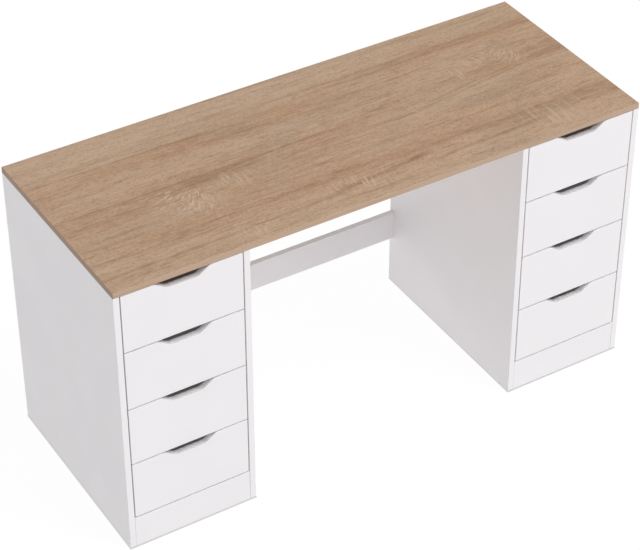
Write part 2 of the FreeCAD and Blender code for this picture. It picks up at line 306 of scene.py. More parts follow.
OAK_STREAKS = (
    Streak(-0.80, -0.15, 0.156, -0.006, 0.005, 0.60),
    Streak(-0.80, -0.30, 0.178, 0.004, 0.014, 0.22),
    Streak(-0.12, 0.85, 0.192, -0.012, 0.012, 0.42),
    Streak(-0.08, 0.85, 0.172, -0.004, 0.010, 0.36),
    Streak(0.02, 0.45, 0.120, 0.004, 0.006, 0.42),
    Streak(-0.85, 0.15, 0.000, 0.012, 0.006, 0.62),
    Streak(-0.47, -0.16, -0.014, 0.010, 0.026, 0.62),
    Streak(-0.80, -0.42, -0.038, 0.002, 0.014, 0.40),
    Streak(0.10, 0.85, -0.042, 0.085, 0.006, 0.42),
    Streak(0.22, 0.85, -0.016, 0.070, 0.005, 0.36),
    Streak(-0.20, 0.30, -0.098, -0.004, 0.008, 0.30),
    Streak(0.05, 0.85, -0.166, 0.014, 0.012, 0.34),
    Streak(-0.80, -0.35, -0.172, 0.004, 0.010, 0.30),
    Streak(-0.80, 0.02, -0.224, 0.004, 0.006, 0.55),
    Streak(-0.14, 0.20, -0.216, 0.040, 0.011, 0.85),
    Streak(0.12, 0.52, -0.214, 0.014, 0.009, 0.48),
    Streak(-0.90, 0.90, 0.104, 0.000, 0.055, 0.12),
    Streak(-0.05, 0.90, 0.040, 0.010, 0.050, 0.16),
    Streak(-0.95, -0.20, -0.030, 0.000, 0.045, 0.22),
    Streak(-1.00, -0.30, 0.034, 0.000, 0.035, 0.10),
    Streak(0.25, 1.10, 0.034, 0.004, 0.035, 0.14),
    Streak(-1.00, -0.30, -0.232, 0.000, 0.040, 0.16),
    Streak(0.22, 1.10, -0.174, 0.006, 0.048, 0.36),
)
OAK_PALE_BANDS = (
    # The first band pales the whole length of the worktop along its back edge
    Streak(-1.20, 1.20, 0.250, -0.004, 0.078, 0.98),
    Streak(-0.95, 0.35, 0.178, 0.004, 0.040, 0.62),
    Streak(-0.20, 0.50, 0.062, 0.002, 0.026, 0.35),
    Streak(0.05, 0.85, 0.010, 0.040, 0.016, 0.28),
    Streak(-0.30, 0.60, -0.128, 0.000, 0.024, 0.25),
    Streak(-0.95, -0.25, -0.100, 0.006, 0.048, 0.90),
    Streak(-0.10, 1.10, -0.030, 0.020, 0.045, 0.85),
    Streak(-0.40, 0.60, -0.242, 0.002, 0.012, 0.40),
    Streak(-0.85, 0.85, -0.268, 0.002, 0.010, 0.55),
)
OAK_FANS = (
    Fan(-0.352, 0.004, 0.165, math.radians(228), math.radians(58), 16.0, 0.95),
    Fan(0.600, 0.115, 0.130, math.radians(215), math.radians(60), 14.0, 0.55),
)
OAK_FLECKS = (
    Fleck(-0.275, -0.046, 0.080, 0.056, math.radians(4), 10.0, 0.66),
    Fleck(-0.030, -0.204, 0.120, 0.046, math.radians(-8), 17.0, 0.80),
    Fleck(0.404, 0.060, 0.018, 0.046, math.radians(2), 2.5, 0.85),
    Fleck(0.470, 0.086, 0.080, 0.034, math.radians(30), 10.0, 0.72),
    Fleck(0.560, 0.062, 0.090, 0.040, math.radians(-38), 11.0, 0.60),
    Fleck(0.490, -0.206, 0.170, 0.075, math.radians(1), 14.0, 0.56),
    Fleck(-0.335, -0.246, 0.080, 0.036, math.radians(3), 11.0, 0.55),
    Fleck(0.010, 0.170, 0.080, 0.028, math.radians(2), 9.0, 0.34),
    Fleck(0.220, -0.040, 0.080, 0.026, math.radians(50), 7.0, 0.32),
    Fleck(-0.400, 0.030, 0.060, 0.024, math.radians(-4), 9.0, 0.34),
    Fleck(0.555, -0.120, 0.060, 0.018, math.radians(6), 8.0, 0.36),
)

# Grain of the oak decor from broad to fine, of its edge band and of the floor
OAK_GRAIN = {
    "broad": Noise((1.1, 11.0, 1.0), (0.3, 4.1, 0.0)),
    "clouds": Noise((4.0, 9.0, 1.0), (7.0, 2.0, 0.0)),
    "long": Noise((2.4, 46.0, 1.0), (2.0, 1.7, 0.0), detail=5.0, roughness=0.6),
    "short": Noise((26.0, 170.0, 1.0), (1.0, 3.0, 0.0), detail=3.0, roughness=0.65),
    "fine": Noise((9.0, 300.0, 1.0), detail=3.0, roughness=0.6),
    "specks": Noise((130.0, 380.0, 1.0), (4.0, 0.0, 0.0)),
    "pores": Noise((45.0, 1500.0, 1.0), (5.0, 0.0, 0.0)),
}
OAK_SWAY = Noise((1.8, 5.0, 1.0))
EDGE_STREAKS = Noise((2.6, 130.0, 1.0), detail=4.0, roughness=0.6)
EDGE_FINE = Noise((14.0, 900.0, 1.0))
PAPER_FIBRE = Noise((3.0, 3.0, 3.0))

# Width of the grain's sway, and the range from a fan's hub in which its rays begin
SWAY_WIDTH = 0.030
FAN_HUB = (0.02, 0.06)

# Breaks of a fan's rays in a metre, and of a fleck's marks in its half width
FAN_BREAKS = 48.0
FLECK_BREAKS = 0.9

# Depth of the relief, and the range of a noise in which a finish goes from one tone to the other
RELIEF_DEPTH = 0.0001
PORE_DEPTH = 0.0002
SOFT = (0.3, 0.7)

COATS = {
    # White board face with a faint pearl grain
    "white_board": Coat(
        "white", Noise((950.0, 950.0, 950.0)), mark_range=(0.55, 0.8), mark_shade=0.96, mark_strength=0.5,
        clouds=Noise((7.0, 7.0, 7.0), detail=3.0), cloud_shade=0.985, gloss_by_clouds=True,
        roughness=(0.46, 0.38), relief=0.08,
    ),
    # White foil with a fine wood emboss along the drawer walls
    "white_foil": Coat(
        "foil", Noise((300.0, 12.0, 900.0), detail=3.0, roughness=0.6),
        mark_range=(0.5, 0.75), mark_shade=0.93, mark_strength=0.6,
        clouds=Noise((9.0, 9.0, 9.0)), cloud_shade=0.97, roughness=(0.42, 0.55), relief=0.10, glows=True,
    ),
    # Thin white sheet whose pressed fibres show through the lacquer
    "white_hardboard": Coat(
        "hardboard", Noise((420.0, 420.0, 420.0), detail=4.0, roughness=0.7, distortion=1.5),
        mark_range=(0.52, 0.8), mark_shade=0.90, mark_strength=0.6,
        clouds=Noise((6.0, 6.0, 6.0)), cloud_shade=0.96, roughness=(0.55, 0.68), relief=0.10, glows=True,
    ),
    # Bright zinc plating over rolled sheet, with fine marks along the rails
    "zinc_steel": Coat(
        "steel", Noise((700.0, 10.0, 700.0), detail=3.0, roughness=0.6),
        mark_range=(0.4, 0.7), mark_shade=1.15, mark_strength=0.5,
        clouds=Noise((60.0, 60.0, 60.0), detail=3.0), cloud_shade=0.86, gloss_by_clouds=True,
        roughness=(0.28, 0.42), relief=0.06, metallic=1.0,
    ),
    # Die-cast alloy with a tumbled, slightly pitted skin
    "cam_zinc": Coat(
        "cam_alloy", Noise((900.0, 900.0, 900.0), detail=3.0), mark_range=(0.6, 0.8), mark_shade=0.7,
        clouds=Noise((150.0, 150.0, 150.0)), cloud_shade=0.85, roughness=(0.40, 0.55), relief=0.15,
        metallic=1.0,
    ),
    # Beech of the dowels, with short dark rays
    "beech": Coat(
        "beech", Noise((500.0, 500.0, 120.0), detail=3.0, roughness=0.6),
        mark_range=(0.45, 0.75), mark_shade=0.72, roughness=(0.65, 0.65), relief=0.15,
    ),
    # Pale moulded plastic with fine scuffs
    "glide_plastic": Coat(
        "plastic", Noise((600.0, 900.0, 600.0), detail=3.0),
        mark_range=(0.5, 0.75), mark_shade=0.85, roughness=(0.40, 0.55),
    ),
}


# Modelling steps shared by the pieces

def select_only(*pieces):
    """Select these objects alone, the last one active."""
    bpy.ops.object.select_all(action="DESELECT")
    for piece in pieces:
        piece.select_set(True)
        bpy.context.view_layer.objects.active = piece


def start_box(name, low, high):
    """Add a box between two corners, with its place in its mesh."""
    bpy.ops.object.select_all(action="DESELECT")
    bpy.ops.mesh.primitive_cube_add(size=1, location=(low + high) / 2, scale=high - low)
    bpy.ops.object.transform_apply(location=True, rotation=True, scale=True)
    piece = bpy.context.active_object
    piece.name = name
    piece.data.name = name
    return piece


def pick(piece, kind, wanted):
    """Select only the wanted VERT or EDGE items of the piece that is being edited."""
    bpy.ops.mesh.select_mode(type=kind)
    bpy.ops.mesh.select_all(action="DESELECT")
    shape = bmesh.from_edit_mesh(piece.data)
    for item in {"VERT": shape.verts, "EDGE": shape.edges}[kind]:
        if wanted(item):
            item.select_set(True)
    shape.select_flush_mode()
    bmesh.update_edit_mesh(piece.data)


def round_edges(piece, width, steps, wanted):
    """Bevel the wanted edges of a piece into arcs."""
    select_only(piece)
    bpy.ops.object.mode_set(mode="EDIT")
    pick(piece, "EDGE", wanted)
    bpy.ops.mesh.bevel(offset=width, segments=steps, affect="EDGES")
    bpy.ops.object.mode_set(mode="OBJECT")


def is_sharp(edge):
    """Whether the two faces of an edge meet at a corner."""
    return edge.calc_face_angle(0) > SHARP_ANGLE


def cut(piece, cutters):
    """Cut the cutters out of a piece and delete them."""
    if not cutters:
        return
    select_only(*cutters)
    if len(cutters) > 1:
        bpy.ops.object.join()
    cutter = bpy.context.active_object
    select_only(piece)
    modifier = piece.modifiers.new("Bores and grooves", "BOOLEAN")
    modifier.operation = "DIFFERENCE"
    modifier.solver = "EXACT"
    modifier.use_self = True
    modifier.object = cutter
    bpy.ops.object.modifier_apply(modifier=modifier.name)
    bpy.data.objects.remove(cutter)


def groove_cutter(low, high, play):
    """Box a little larger than the sheet that a groove takes."""
    room = Vector((play, play, play))
    return start_box("groove cutter", low - room, high + room)


def bore_cutter(low, high, axis, play):
    """Cylinder a little wider than a round fastener, between two corners along an axis."""
    size = high - low
    turn = ((0, math.pi / 2, 0), (math.pi / 2, 0, 0), (0, 0, 0))[axis]
    radius = size[(axis + 1) % 3] / 2 + play
    bpy.ops.object.select_all(action="DESELECT")
    bpy.ops.mesh.primitive_cylinder_add(
        vertices=BORE_STEPS, radius=radius, depth=size[axis], location=(low + high) / 2, rotation=turn
    )
    return bpy.context.active_object


def solids_in(node):
    """Lowest and highest corner of each solid in a node of the frame, in order of place."""
    shape = bmesh.new()
    shape.from_mesh(frame["nodes"][node].data)
    bmesh.ops.remove_doubles(shape, verts=shape.verts, dist=WELD)
    left = set(shape.verts)
    boxes = []
    while left:
        found = [left.pop()]
        island = []
        while found:
            vert = found.pop()
            island.append(vert.co.copy())
            for edge in vert.link_edges:
                other = edge.other_vert(vert)
                if other in left:
                    left.remove(other)
                    found.append(other)
        boxes.append((Vector(map(min, zip(*island))), Vector(map(max, zip(*island)))))
    shape.free()
    return sorted(boxes, key=lambda box: tuple(box[0]))


def round_solids(node, diameter):
    """(low, high, axis) of each round solid of that diameter in a node of the frame."""
    found = []
    for low, high in solids_in(node):
        size = high - low
        for axis in range(3):
            across = (size[(axis + 1) % 3], size[(axis + 2) % 3])
            if all(abs(width - diameter) < ROUND_PLAY for width in across):
                found.append((low, high, axis))
                break
    return found


def cam_bores(board_low, board_high, cams, play):
    """Cutters for the cam locks that lie in a board, each open at the face that is nearer."""
    cutters = []
    for low, high, axis in cams:
        middle = (low + high) / 2
        if not all(board_low[i] < middle[i] < board_high[i] for i in range(3)):
            continue
        start, end = low.copy(), high.copy()
        if low[axis] - board_low[axis] < board_high[axis] - high[axis]:
            start[axis] = board_low[axis] - OVERRUN
            end[axis] += play
        else:
            start[axis] -= play
            end[axis] = board_high[axis] + OVERRUN
        cutters.append(bore_cutter(start, end, axis, play))
    return cutters


def screw_seats(board_low, board_high, screws, depth, play):
    """Cutters for the heads of the screws that lie flush in a face of a board."""
    cutters = []
    for low, high, axis in screws:
        middle = (low + high) / 2
        others = [i for i in range(3) if i != axis]
        if not all(board_low[i] < middle[i] < board_high[i] for i in others):
            continue
        start, end = low.copy(), high.copy()
        if abs(low[axis] - board_low[axis]) < TINY:
            start[axis] -= OVERRUN
            end[axis] = low[axis] + depth
        elif abs(high[axis] - board_high[axis]) < TINY:
            start[axis] = high[axis] - depth
            end[axis] += OVERRUN
        else:
            continue
        cutters.append(bore_cutter(start, end, axis, play))
    return cutters


def finish_piece(piece, body, slot, nodes):
    """Smooth the rounded edges, keep the flats flat, and hand the piece to the frame."""
    select_only(piece)
    bpy.ops.object.shade_smooth_by_angle(angle=SMOOTH_ANGLE)
    modifier = piece.modifiers.new("Flat faces", "WEIGHTED_NORMAL")
    modifier.keep_sharp = True
    bpy.ops.object.modifier_apply(modifier=modifier.name)
    piece.data.materials.clear()
    piece.data.materials.append(finish(slot))
    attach(piece, body)
    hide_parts(*nodes)


def copy_piece(source, name, offset):
    """Copy a modelled piece to another place, with a mesh of its own."""
    select_only(source)
    bpy.ops.object.duplicate(linked=False)
    bpy.ops.transform.translate(value=offset)
    bpy.ops.object.transform_apply(location=True, rotation=True, scale=True)
    piece = bpy.context.active_object
    piece.name = name
    piece.data.name = name
    return piece


def model_alike(node_ending, name_ending, model, slot):
    """Model each drawer's piece once for each size of its node, and copy it to the drawers of that size."""
    made = {}
    for drawer in DRAWERS:
        node = drawer + node_ending
        low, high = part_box(node)
        size = tuple(round(length, SIZE_DIGITS) for length in high - low)
        name = drawer + name_ending
        if size in made:
            source, source_low = made[size]
            piece = copy_piece(source, name, low - source_low)
        else:
            piece = model(name, drawer)
            made[size] = (piece, low)
    for drawer in DRAWERS:
        finish_piece(bpy.data.objects[drawer + name_ending], drawer, slot, [drawer + node_ending])


# Finishes

class Shading:
    """Node tree of a finish or of the room, with patterns in Object coordinates."""

    def __init__(self, tree):
        self.tree = tree
        self.place = tree.nodes.new("ShaderNodeTexCoord").outputs["Object"]

    def feed(self, socket, value):
        """Link a socket to an output, or set it."""
        if isinstance(value, bpy.types.NodeSocket):
            self.tree.links.new(value, socket)
        else:
            socket.default_value = value

    def add(self, kind, inputs, **options):
        """Add a node with its options, and link or set its inputs by name or number."""
        node = self.tree.nodes.new(kind)
        for option, value in options.items():
            setattr(node, option, value)
        for key, value in inputs.items():
            self.feed(node.inputs[key], value)
        return node

    def parts(self, vector):
        """X, Y and Z of a vector."""
        return self.add("ShaderNodeSeparateXYZ", {0: vector}).outputs

    def joined(self, x, y, z=0.0):
        """Vector from its X, Y and Z."""
        return self.add("ShaderNodeCombineXYZ", {0: x, 1: y, 2: z}).outputs[0]

    def noise(self, pattern, vector=None):
        """Soft noise from 0 to 1, at the surface's own place or at another vector."""
        place = {"Vector": vector or self.place, "Location": pattern.shift, "Scale": pattern.scale}
        inputs = {"Vector": self.add("ShaderNodeMapping", place).outputs[0], "Scale": 1.0}
        inputs.update(Detail=pattern.detail, Roughness=pattern.roughness, Distortion=pattern.distortion)
        return self.add("ShaderNodeTexNoise", inputs).outputs[0]

    def math(self, operation, first, second=0.0):
        """Sum, size or other result of one or two values."""
        return self.add("ShaderNodeMath", {0: first, 1: second}, operation=operation).outputs[0]

    def product(self, first, *others):
        """Values multiplied with each other."""
        for other in others:
            first = self.math("MULTIPLY", first, other)
        return first

    def span(self, value, start, end, first=0.0, last=1.0):
        """Smooth change from the first result to the last, while the value goes from start to end."""
        inputs = {0: value, 1: start, 2: end, 3: first, 4: last}
        return self.add("ShaderNodeMapRange", inputs, interpolation_type="SMOOTHSTEP").outputs[0]

    def blend(self, factor, first, second):
        """Two colours blended by a factor."""
        inputs = {0: factor}
        for socket, colour in ((6, first), (7, second)):
            inputs[socket] = colour if isinstance(colour, bpy.types.NodeSocket) else (*colour, 1)
        return self.add("ShaderNodeMix", inputs, data_type="RGBA").outputs[2]


class Finish(Shading):
    """Material being made, with one Principled shader."""

    def __init__(self, name, roughness=0.5, metallic=0.0):
        self.material = bpy.data.materials.new(name)
        self.material.use_nodes = True
        super().__init__(self.material.node_tree)
        self.shader = self.tree.nodes["Principled BSDF"].inputs
        self.shader["Roughness"].default_value = roughness
        self.shader["Metallic"].default_value = metallic

    def colour(self, value):
        """Give the shader its colour."""
        self.feed(self.shader["Base Color"], value)

    def rough(self, value):
        """Give the shader its roughness."""
        self.feed(self.shader["Roughness"], value)

    def glow(self, strength, colour=(1, 1, 1, 1)):
        """Let the surface shine faintly by itself."""
        self.feed(self.shader["Emission Color"], colour)
        self.shader["Emission Strength"].default_value = strength

    def bump(self, height, strength, distance):
        """Give the shader fine relief."""
        inputs = {"Height": height, "Strength": strength, "Distance": distance}
        self.feed(self.shader["Normal"], self.add("ShaderNodeBump", inputs).outputs[0])


def shade(colour, factor):
    """Colour made lighter or darker."""
    return tuple(channel * factor for channel in colour)


def oak_decor(name, colours):
    """Oak decor with its grain along X, dark streaks and patches of pale saw marks."""
    oak = Finish(name)
    parts = oak.parts(oak.place)
    along = parts["X"]
    sway = oak.product(oak.math("SUBTRACT", oak.noise(OAK_SWAY), 0.5), SWAY_WIDTH)
    across = oak.math("ADD", parts["Y"], sway)
    swayed = oak.joined(along, across, parts["Z"])
    grain = {kind: oak.noise(pattern, swayed) for kind, pattern in OAK_GRAIN.items()}
    body = oak.blend(oak.span(grain["broad"], 0.38, 0.62, last=0.8), colours.oak, colours.oak_light)
    body = oak.blend(oak.span(grain["clouds"], 0.50, 0.70, last=0.75), body, colours.oak_grey)
    ragged = oak.span(grain["short"], 0.30, 0.70, 0.40, 1.20)
    for band in OAK_PALE_BANDS:
        body = oak.blend(oak_streak(oak, band, along, across, ragged), body, colours.oak_pale)
    for kind, strength in (("long", 0.52), ("short", 0.62), ("fine", 0.50), ("specks", 0.58)):
        body = oak.blend(oak.span(grain[kind], 0.50, 0.76, last=strength), body, colours.oak_dark)
        body = oak.blend(oak.span(grain[kind], 0.50, 0.26, last=strength), body, colours.oak_pale)
    body = oak.blend(oak.span(grain["pores"], 0.60, 0.72, last=0.35), body, colours.oak_dark)
    for streak in OAK_STREAKS:
        body = oak.blend(oak_streak(oak, streak, along, across, ragged), body, colours.oak_dark)
    for fan in OAK_FANS:
        body = oak.blend(oak_fan(oak, fan, grain["short"]), body, colours.oak_fleck)
    for fleck in OAK_FLECKS:
        body = oak.blend(oak_fleck(oak, fleck, grain["short"]), body, colours.oak_fleck)
    oak.colour(body)
    oak.rough(oak.span(grain["long"], 0.25, 0.75, 0.60, 0.50))
    oak.bump(grain["pores"], 0.12, PORE_DEPTH)
    return oak.material


def oak_streak(oak, streak, along, across, ragged):
    """How strongly a streak or pale band shows at each place of the decor."""
    length = streak.end - streak.start
    fade = length / 5
    line = oak.product(oak.math("SUBTRACT", along, streak.start), streak.rise / length)
    offset = oak.math("SUBTRACT", oak.math("SUBTRACT", across, streak.place), line)
    core = oak.span(oak.math("ABSOLUTE", offset), streak.width, 0.0, last=streak.strength)
    near_end = oak.span(along, streak.start, streak.start + fade)
    far_end = oak.span(along, streak.end, streak.end - fade)
    return oak.product(core, near_end, far_end, ragged)


def around(oak, patch, turn, scale):
    """Flat coordinates about the middle of a fan or fleck, turned and scaled, and the distance from it."""
    inputs = {"Vector": oak.place, "Location": (patch.x, patch.y, 0)}
    inputs.update(Rotation=(0, 0, turn), Scale=scale)
    local = oak.add("ShaderNodeMapping", inputs, vector_type="TEXTURE").outputs[0]
    flat = oak.add("ShaderNodeVectorMath", {0: local, 1: (1, 1, 0)}, operation="MULTIPLY").outputs[0]
    reach = oak.add("ShaderNodeVectorMath", {0: flat}, operation="LENGTH").outputs["Value"]
    return flat, reach


def oak_fan(oak, fan, ragged):
    """How pale a fan of rays makes each place of the decor."""
    flat, reach = around(oak, fan, fan.turn, (1, 1, 1))
    parts = oak.parts(flat)
    angle = oak.math("ARCTAN2", parts["Y"], parts["X"])
    rays = oak.noise(Noise((fan.rays, FAN_BREAKS, 1.0), (fan.x, fan.y, 0.0)), oak.joined(angle, reach))
    sides = oak.span(oak.math("ABSOLUTE", angle), fan.half_angle, fan.half_angle / 2)
    hub = oak.span(reach, *FAN_HUB)
    rim = oak.span(reach, fan.reach, fan.reach / 2, last=fan.strength)
    return oak.product(sides, hub, rim, oak.span(rays, 0.49, 0.64), oak.span(ragged, 0.30, 0.60, 0.45))


def oak_fleck(oak, fleck, ragged):
    """How pale a patch of saw marks makes each place of the decor."""
    flat, reach = around(oak, fleck, fleck.slant, (fleck.half_length, fleck.half_width, 1))
    ticks = oak.noise(Noise((fleck.marks, FLECK_BREAKS, 1.0), (fleck.x, fleck.y, 0.0), detail=1.0), flat)
    mask = oak.span(reach, 1.0, 0.2, last=fleck.strength)
    return oak.product(mask, oak.span(ticks, 0.48, 0.66), oak.span(ragged, 0.35, 0.60, 0.35))


def oak_edge(name, colours):
    """Edge band in oak decor, with its grain along the edge, and painted shade darkening both ends."""
    edge = Finish(name)
    parts = edge.parts(edge.place)
    grain = edge.joined(edge.math("ADD", parts["X"], parts["Y"]), parts["Z"])
    streaks = edge.noise(EDGE_STREAKS, grain)
    fine = edge.noise(EDGE_FINE, grain)
    inner_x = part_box("worktop")[1].x
    outer_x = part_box("worktop_edge_banding")[1].x
    # Both ends of the band take the darker tone: painted shade on the short edges
    shaded_end = edge.span(edge.math("ABSOLUTE", parts["X"]), inner_x, (inner_x + outer_x) / 2)
    body = edge.blend(shaded_end, colours.oak_band, colours.shaded_end_band)
    body = edge.blend(edge.span(streaks, 0.50, 0.80, last=0.5), body, colours.oak_dark)
    body = edge.blend(edge.span(fine, 0.52, 0.75, last=0.3), body, colours.oak_dark)
    edge.colour(body)
    edge.rough(edge.span(fine, *SOFT, 0.50, 0.40))
    edge.bump(fine, 0.10, RELIEF_DEPTH)
    return edge.material


def coated(name, coat, colours):
    """Plain finish from its row in the table."""
    first_roughness, last_roughness = coat.roughness
    skin = Finish(name, first_roughness, coat.metallic)
    tone = getattr(colours, coat.tone)
    marks = skin.noise(coat.marks)
    body, gloss = tone, marks
    if coat.clouds:
        clouds = skin.noise(coat.clouds)
        body = skin.blend(skin.span(clouds, *SOFT), shade(tone, coat.cloud_shade), tone)
        gloss = clouds if coat.gloss_by_clouds else marks
    marked = skin.span(marks, *coat.mark_range, last=coat.mark_strength)
    skin.colour(skin.blend(marked, body, shade(tone, coat.mark_shade)))
    if last_roughness != first_roughness:
        skin.rough(skin.span(gloss, *SOFT, first_roughness, last_roughness))
    if coat.relief:
        skin.bump(marks, coat.relief, RELIEF_DEPTH)
    if coat.glows:
        skin.glow(colours.drawer_glow)
    return skin.material


def finish(slot):
    """Material of a record's slot, made when it is first asked for."""
    name = slot + "_finish"
    colours = bpy.context.scene.desk_finishes
    made = bpy.data.materials.get(name)
    if made:
        return made
    if slot in COATS:
        return coated(name, COATS[slot], colours)
    return {"oak_decor": oak_decor, "oak_edge": oak_edge}[slot](name, colours)


# Pieces

class DESK_OT_worktop(bpy.types.Operator):
    """Model the oak worktop and the band round its edges"""

    bl_idname = "desk.worktop"
    bl_label = "Worktop and edge band"

    def execute(self, context):
        sizes = context.scene.desk_sizes
        low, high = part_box("worktop")
        board = start_box("worktop_board", low, high)
        round_edges(board, sizes.seam_round, FINE_STEPS, is_sharp)
        finish_piece(board, CARCASS, "oak_decor", ["worktop"])
        outer_low, outer_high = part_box("worktop_edge_banding")
        planes = tuple(zip(outer_low, outer_high))

        def on_outer_edge(edge):
            middle = (edge.verts[0].co + edge.verts[1].co) / 2
            touched = [min(abs(middle[i] - plane) for plane in planes[i]) < TINY for i in range(3)]
            return sum(touched) > 1

        strips = [
            (outer_low, Vector((outer_high.x, low.y, outer_high.z))),
            (Vector((outer_low.x, high.y, outer_low.z)), outer_high),
            (Vector((outer_low.x, low.y, outer_low.z)), Vector((low.x, high.y, outer_high.z))),
            (Vector((high.x, low.y, outer_low.z)), Vector((outer_high.x, high.y, outer_high.z))),
        ]
        bands = []
        for strip_low, strip_high in strips:
            band = start_box("worktop_band", strip_low, strip_high)
            round_edges(band, sizes.band_round, EDGE_STEPS, on_outer_edge)
            bands.append(band)
        select_only(*bands)
        bpy.ops.object.join()
        band = context.active_object
        band.name = "worktop_band"
        finish_piece(band, CARCASS, "oak_edge", ["worktop_edge_banding"])
        return {"FINISHED"}


class DESK_OT_carcass(bpy.types.Operator):
    """Model the white boards of both pedestals and the stretcher between them"""

    bl_idname = "desk.carcass"
    bl_label = "Pedestal boards and stretcher"

    def execute(self, context):
        sizes = context.scene.desk_sizes
        cams = round_solids("cam_locks", sizes.cam_diameter)
        nodes = ["rear_stretcher"]
        for pedestal in PEDESTALS:
            nodes += [pedestal + part for part in ("_outer_side", "_inner_side", "_plinth", "_bottom_panel")]
        for node in nodes:
            low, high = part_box(node)
            board = start_box(node + "_board", low, high)
            if node.endswith("_plinth"):
                self.round_joints(board, low.y, sizes.joint_round)
            round_edges(board, sizes.board_round, EDGE_STEPS, is_sharp)
            cutters = cam_bores(low, high, cams, sizes.bore_play)
            if node.endswith("_side"):
                sheet = node.split("_")[0] + "_back_panel"
                cutters.append(groove_cutter(*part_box(sheet), sizes.groove_play))
            cut(board, cutters)
            finish_piece(board, CARCASS, "white_board", [node])
        return {"FINISHED"}

    def round_joints(self, plinth, front_y, width):
        """Round a plinth's upright front edges, where it meets the sides."""

        def upright_at_front(edge):
            first, second = edge.verts
            upright = abs(first.co.z - second.co.z) > OVERRUN
            return upright and max(first.co.y, second.co.y) < front_y + TINY

        round_edges(plinth, width, WIDE_STEPS, upright_at_front)


class DESK_OT_back_panels(bpy.types.Operator):
    """Model the thin back panels of the pedestals"""

    bl_idname = "desk.back_panels"
    bl_label = "Back panels"

    def execute(self, context):
        sizes = context.scene.desk_sizes
        for pedestal in PEDESTALS:
            node = pedestal + "_back_panel"
            sheet = start_box(node + "_sheet", *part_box(node))
            round_edges(sheet, sizes.sheet_round, FINE_STEPS, is_sharp)
            finish_piece(sheet, CARCASS, "white_hardboard", [node])
        return {"FINISHED"}


class DESK_OT_drawer_fronts(bpy.types.Operator):
    """Model the drawer fronts with their finger scoops"""

    bl_idname = "desk.drawer_fronts"
    bl_label = "Drawer fronts"

    def execute(self, context):
        sizes = context.scene.desk_sizes

        def model(name, drawer):
            low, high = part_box(drawer + "_front")
            front = start_box(name, low, high)
            self.scoop(front, low, high, sizes)
            round_edges(front, sizes.board_round, EDGE_STEPS, is_sharp)
            cut(front, [groove_cutter(*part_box(drawer + "_bottom"), sizes.groove_play)])
            return front

        model_alike("_front", "_front_board", model, "white_board")
        return {"FINISHED"}

    def scoop(self, front, low, high, sizes):
        """Dip the middle of the top edge and round the dip's four corners."""
        middle = (low.x + high.x) / 2
        lip_half = sizes.scoop_width / 2
        floor_half = lip_half - sizes.scoop_depth / math.tan(sizes.scoop_slope)
        bpy.ops.object.mode_set(mode="EDIT")
        for offset in (-lip_half, -floor_half, floor_half, lip_half):
            bpy.ops.mesh.select_all(action="SELECT")
            bpy.ops.mesh.bisect(plane_co=(middle + offset, 0, 0), plane_no=(1, 0, 0))

        def on_floor(vert):
            return vert.co.z > high.z - TINY and abs(vert.co.x - middle) < floor_half + TINY

        def across_scoop(edge):
            first, second = edge.verts
            through = abs(first.co.y - second.co.y) > TINY
            inside = abs(first.co.x - middle) < lip_half + TINY
            return through and inside

        pick(front, "VERT", on_floor)
        bpy.ops.transform.translate(value=(0, 0, -sizes.scoop_depth))
        bpy.ops.mesh.select_all(action="SELECT")
        bpy.ops.mesh.dissolve_limited(angle_limit=FLAT_ANGLE)
        bpy.ops.object.mode_set(mode="OBJECT")
        tangent = sizes.scoop_radius * math.tan(sizes.scoop_slope / 2)
        round_edges(front, tangent, SCOOP_STEPS, across_scoop)


